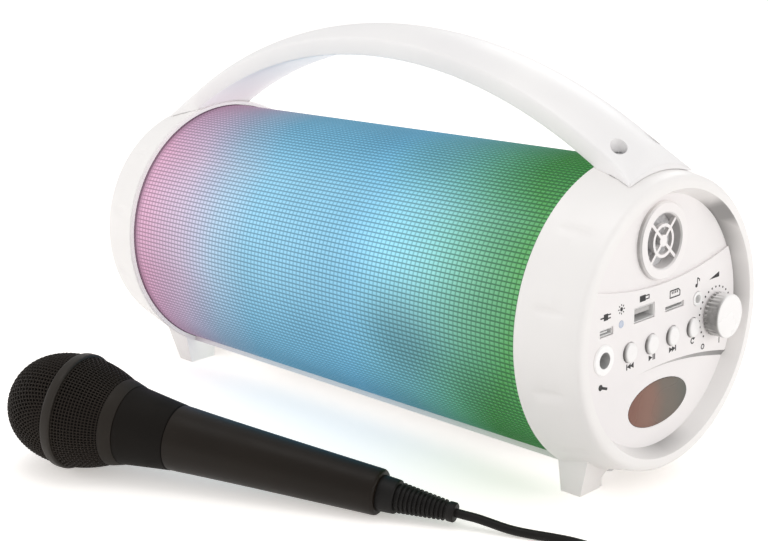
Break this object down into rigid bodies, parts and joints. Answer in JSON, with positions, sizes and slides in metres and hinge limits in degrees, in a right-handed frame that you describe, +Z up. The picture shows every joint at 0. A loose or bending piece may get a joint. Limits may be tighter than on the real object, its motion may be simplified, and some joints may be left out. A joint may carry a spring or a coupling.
{
  "type": "portable karaoke speaker",
  "caption": "Tube-shaped portable speaker with a light-show grille, arched carry handle and end control panel, with a corded microphone.",
  "frame": {"origin": "on the floor, under the middle of the box round the speaker and its microphone, without the cord", "axes": "+X along the tube towards the control panel, -Y front, +Z up"},
  "size_m": [0.4083, 0.2588, 0.1807],
  "materials": {
    "white_case": "smooth injection moulding, semi gloss",
    "white_panel": "smooth injection moulding, semi gloss",
    "white_button": "smooth",
    "white_knob": "smooth face, ridged side",
    "grille_steel": "black powder coat, square perforation",
    "diffuser": "translucent, lit from inside",
    "screw_steel": "zinc plated",
    "dome_grey": "pale dome in a grey frame",
    "window_smoke": "smoked, flush",
    "pilot_blue": "clear light pipe",
    "pot_grey": "stamped",
    "black_part": "moulded",
    "circuit_board": "solder mask",
    "socket_steel": "nickel plated",
    "socket_insert": "moulded",
    "chassis_grey": "moulded",
    "led_board": "white solder mask",
    "led_chip": "clear dome",
    "cell_wrap": "shrink film",
    "woofer_black": "satin black",
    "woofer_paper": "coated paper",
    "magnet": "ferrite and steel",
    "mic_mesh": "woven wire, black",
    "mic_black": "satin",
    "mic_collar": "satin, dark grey",
    "foam": "open cell",
    "cord_rubber": "satin",
    "tie_fabric": "hook and loop",
    "plug_nickel": "nickel plated"
  },
  "bodies": {
    "speaker": {"left_cap": "white_case", "right_cap": "white_case", "lower_shell": "white_case", "mesh_grille": "grille_steel", "diffuser_tube": "diffuser", "shell_screws": "screw_steel", "handle": "white_case", "handle_screws": "screw_steel", "control_panel": "white_panel", "panel_screws": "screw_steel", "tweeter_grille": "white_panel", "tweeter_driver": "dome_grey", "window_lens": "window_smoke", "window_lamp": "circuit_board", "pilot_light": "pilot_blue", "potentiometer": "pot_grey", "pot_nut": "screw_steel", "tact_switches": "black_part", "control_board": "circuit_board", "board_screws": "screw_steel", "usb_socket": "socket_steel", "usb_tongue": "socket_insert", "card_socket": "socket_steel", "charge_socket": "socket_steel", "mic_jack": "socket_insert", "line_jack": "socket_insert", "chassis": "chassis_grey", "led_bar": "chassis_grey", "led_strips": "led_board", "led_chips": "led_chip", "main_board": "circuit_board", "battery_pack": "cell_wrap", "left_panel": "white_panel", "woofer_grille": "woofer_black", "woofer_basket": "woofer_black", "woofer_cone": "woofer_paper", "woofer_magnet": "magnet"},
    "volume_knob": {"volume_knob": "white_knob", "pot_shaft": "screw_steel"},
    "button_previous": {"button_previous": "white_button"},
    "button_play": {"button_play": "white_button"},
    "button_next": {"button_next": "white_button"},
    "button_mode": {"button_mode": "white_button"},
    "microphone": {"mic_front_mesh": "mic_mesh", "mic_ring": "mic_black", "mic_rear_mesh": "mic_mesh", "mic_collar": "mic_collar", "mic_grip": "mic_black", "mic_foam": "foam", "mic_capsule": "socket_steel", "mic_strain_relief": "cord_rubber", "mic_cord": "cord_rubber", "cord_coil": "cord_rubber", "cord_tie": "tie_fabric", "plug_lead": "cord_rubber", "plug_shell": "cord_rubber", "plug_pin": "plug_nickel", "plug_insulator": "black_part"}
  },
  "joints": [
    {"name": "volume_turn", "type": "hinge", "parent": "speaker", "child": "volume_knob", "pos_m": [0.1542, 0.09355, 0.064], "axis": [-1, 0, 0], "range_deg": [0, 300]},
    {"name": "previous_press", "type": "slide", "parent": "speaker", "child": "button_previous", "axis": [-1, 0, 0], "range_m": [0, 0.0008], "stiffness_N_per_m": 400},
    {"name": "play_press", "type": "slide", "parent": "speaker", "child": "button_play", "axis": [-1, 0, 0], "range_m": [0, 0.0008], "stiffness_N_per_m": 400},
    {"name": "next_press", "type": "slide", "parent": "speaker", "child": "button_next", "axis": [-1, 0, 0], "range_m": [0, 0.0008], "stiffness_N_per_m": 400},
    {"name": "mode_press", "type": "slide", "parent": "speaker", "child": "button_mode", "axis": [-1, 0, 0], "range_m": [0, 0.0008], "stiffness_N_per_m": 400},
    {"name": "microphone_lift", "type": "slide", "parent": "speaker", "child": "microphone", "axis": [0, 0, 1], "range_m": [0, 0.15]}
  ]
}
